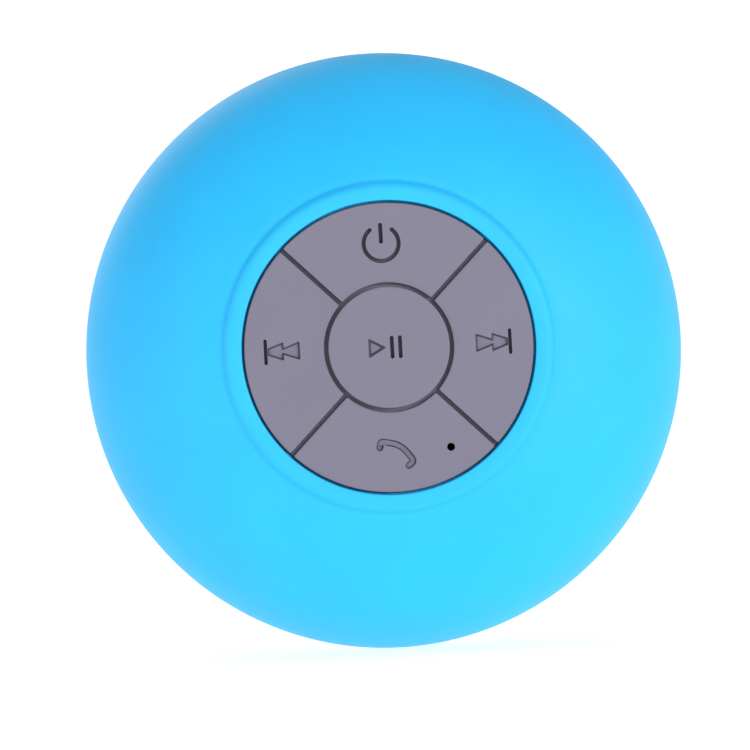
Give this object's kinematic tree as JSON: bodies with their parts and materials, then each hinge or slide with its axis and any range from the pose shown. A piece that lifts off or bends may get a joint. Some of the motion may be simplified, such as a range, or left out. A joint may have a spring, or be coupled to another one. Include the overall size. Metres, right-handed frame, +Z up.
{
  "type": "shower speaker",
  "caption": "Round silicone-skinned waterproof wireless speaker with a flat keypad on its face, a slotted neck and a screw-on suction cup behind.",
  "frame": {"origin": "On the wall, at the centre of the suction cup's rim, on the axis of the speaker.", "axes": "+Y into the wall, along the axis of the speaker and of the cup; the keypad faces -Y. +Z up, with the charging socket at the bottom. +X to the right of someone who faces the keypad."},
  "size_m": [0.086, 0.0548, 0.086],
  "materials": {
    "blue_silicone": "matte",
    "grey_silicone": "matte",
    "grey_plastic": "fine matte",
    "dark_plastic": "matte",
    "blue_cup": "smooth, slightly clear",
    "black_rubber": "matte",
    "mesh_cloth": "woven",
    "steel": "zinc plated",
    "brass": "machined",
    "ferrite": "sintered",
    "board_green": "solder mask",
    "chip_black": "moulded",
    "cone_paper": "coated paper",
    "cloth_tan": "resin-treated cloth",
    "copper": "enamelled wire",
    "foil_silver": "satin foil",
    "foam_white": "foam",
    "led_lens": "clear",
    "red_wire": "smooth",
    "black_wire": "smooth"
  },
  "bodies": {
    "wall_cup": {"suction_cup": "blue_cup"},
    "stud": {"cup_stud": "dark_plastic"},
    "washer": {"cup_washer": "black_rubber"},
    "speaker": {"silicone_jacket": "blue_silicone", "front_housing": "dark_plastic", "rear_housing": "grey_plastic", "housing_seal": "black_rubber", "acoustic_mesh": "mesh_cloth", "boss_insert": "brass", "housing_screw_1": "steel", "housing_screw_2": "steel", "housing_screw_3": "steel", "housing_screw_4": "steel", "keypad_web": "grey_silicone", "main_board": "board_green", "board_screw_1": "steel", "board_screw_2": "steel", "board_screw_3": "steel", "switch_power": "steel", "switch_previous": "steel", "switch_play_pause": "steel", "switch_next": "steel", "switch_call": "steel", "microphone": "steel", "mic_boot": "black_rubber", "status_led": "led_lens", "bluetooth_chip": "chip_black", "amplifier_chip": "chip_black", "supply_capacitor": "foil_silver", "battery": "foil_silver", "battery_pad": "foam_white", "battery_lead_plus": "red_wire", "battery_lead_minus": "black_wire", "speaker_lead_plus": "red_wire", "speaker_lead_minus": "black_wire", "charge_board": "board_green", "usb_shell": "steel", "usb_tongue": "chip_black", "charge_lead": "black_wire", "driver_basket": "steel", "driver_gasket": "black_rubber", "driver_top_plate": "steel", "driver_magnet": "ferrite", "driver_yoke": "steel", "surround": "black_rubber", "spider": "cloth_tan"},
    "power_key": {"key_power": "grey_silicone", "plunger_power": "chip_black"},
    "previous_key": {"key_previous": "grey_silicone", "plunger_previous": "chip_black"},
    "play_pause_key": {"key_play_pause": "grey_silicone", "plunger_play_pause": "chip_black"},
    "next_key": {"key_next": "grey_silicone", "plunger_next": "chip_black"},
    "call_key": {"key_call": "grey_silicone", "plunger_call": "chip_black"},
    "cone_assembly": {"cone": "cone_paper", "dust_cap": "cone_paper", "voice_coil": "copper"},
    "port_cover": {"usb_cover": "blue_silicone"}
  },
  "joints": [
    {"name": "cup_press", "type": "slide", "parent": "wall_cup", "child": "stud", "axis": [0, 1, 0], "range_m": [0, 0.004], "stiffness_N_per_m": 1500, "deforming": ["suction_cup"]},
    {"name": "unscrew_travel", "type": "slide", "parent": "stud", "child": "washer", "axis": [0, -1, 0], "range_m": [0, 0.0073]},
    {"name": "unscrew_turn", "type": "hinge", "parent": "washer", "child": "speaker", "pos_m": [0, 0, 0], "axis": [0, -1, 0], "range_deg": [0, 3240]},
    {"name": "power_press", "type": "slide", "parent": "speaker", "child": "power_key", "axis": [0, 1, 0], "range_m": [0, 0.00035], "stiffness_N_per_m": 400},
    {"name": "previous_press", "type": "slide", "parent": "speaker", "child": "previous_key", "axis": [0, 1, 0], "range_m": [0, 0.00035], "stiffness_N_per_m": 400},
    {"name": "play_pause_press", "type": "slide", "parent": "speaker", "child": "play_pause_key", "axis": [0, 1, 0], "range_m": [0, 0.00035], "stiffness_N_per_m": 400},
    {"name": "next_press", "type": "slide", "parent": "speaker", "child": "next_key", "axis": [0, 1, 0], "range_m": [0, 0.00035], "stiffness_N_per_m": 400},
    {"name": "call_press", "type": "slide", "parent": "speaker", "child": "call_key", "axis": [0, 1, 0], "range_m": [0, 0.00035], "stiffness_N_per_m": 400},
    {"name": "cone_travel", "type": "slide", "parent": "speaker", "child": "cone_assembly", "axis": [0, 1, 0], "range_m": [-0.0012, 0.0012], "stiffness_N_per_m": 1200, "deforming": ["surround", "spider"]},
    {"name": "cover_hinge", "type": "hinge", "parent": "speaker", "child": "port_cover", "pos_m": [0, -0.0192, -0.0401], "axis": [1, 0, 0], "range_deg": [0, 110]}
  ],
  "couplings": [
    {"joint": "unscrew_travel", "follows": "unscrew_turn", "m_per_rad": 0.00012732}
  ]
}
